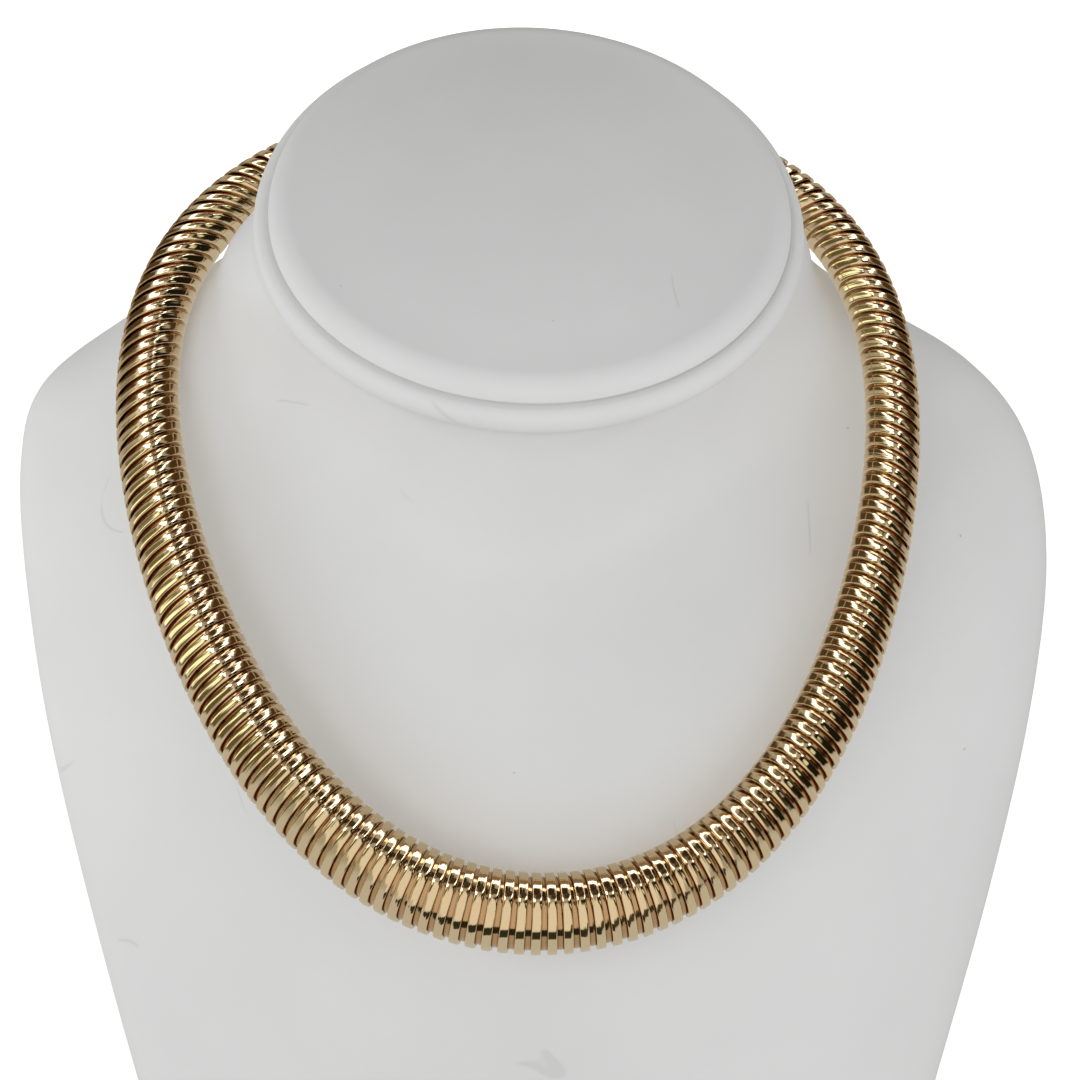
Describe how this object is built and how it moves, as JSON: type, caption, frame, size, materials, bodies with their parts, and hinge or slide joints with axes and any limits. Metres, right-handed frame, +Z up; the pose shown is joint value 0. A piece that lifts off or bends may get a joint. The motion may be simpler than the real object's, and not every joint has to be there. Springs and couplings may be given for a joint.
{
  "type": "gaspipe necklace on a neck bust",
  "caption": "Graduated gaspipe collar of wound, ribbed gold strip with end caps and a barrel clasp, resting on a plain white padded neck bust.",
  "frame": {"origin": "middle of the outline on the underside of the bust, which stands on z = 0", "axes": "+Z up, the bust and the front of the necklace face -Y, +X to the right of a viewer in front of it"},
  "size_m": [0.1761, 0.1074, 0.2224],
  "materials": {
    "gold": "polished yellow gold",
    "leatherette": "matte white leatherette with a fine grain"
  },
  "bodies": {
    "root": {"gaspipe_coil": "gold", "end_cap_left": "gold", "end_cap_right": "gold", "clasp": "gold", "bust_torso": "leatherette", "neck_rim": "leatherette", "neck_cap": "leatherette"}
  },
  "joints": []
}
